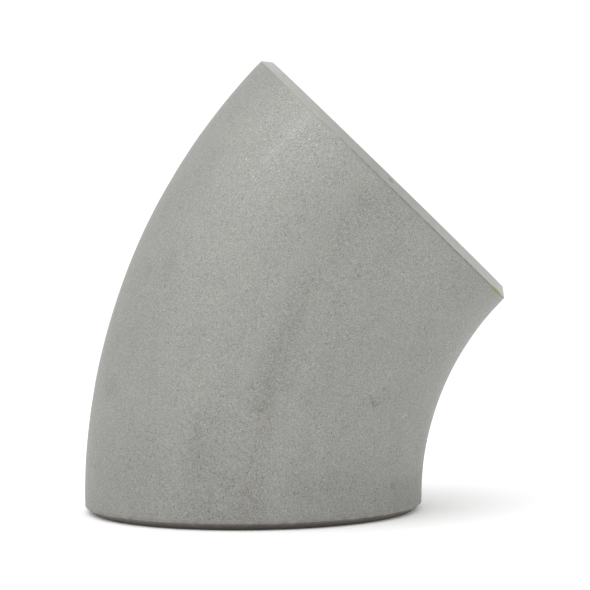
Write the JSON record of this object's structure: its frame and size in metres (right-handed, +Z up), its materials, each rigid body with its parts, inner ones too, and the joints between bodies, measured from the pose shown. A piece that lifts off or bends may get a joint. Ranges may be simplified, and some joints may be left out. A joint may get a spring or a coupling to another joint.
{
  "type": "45 degree butt-weld pipe elbow",
  "caption": "Heavy-wall 45 degree pipe elbow with bevelled butt-weld ends and a longitudinal seam weld, blasted stainless steel.",
  "frame": {"origin": "centre of the lower end face, on the pipe's axis", "axes": "+Z up the pipe's axis at the lower end, +X towards the inside of the bend, which the upper end leans towards, +Y across the bend plane, away from the seam"},
  "size_m": [0.2738, 0.2194, 0.2911],
  "materials": {
    "blasted_steel": "grit-blasted matt grey stainless steel, with machined bevels and root faces at both ends",
    "outer_weld": "stainless weld metal dressed flush and blasted over, slightly darker than the wall",
    "inner_weld": "stainless weld metal with its low crown left on, lightly blasted"
  },
  "bodies": {
    "root": {"pipe_shell": "blasted_steel", "outer_seam_run": "outer_weld", "inner_seam_run": "inner_weld"}
  },
  "joints": []
}
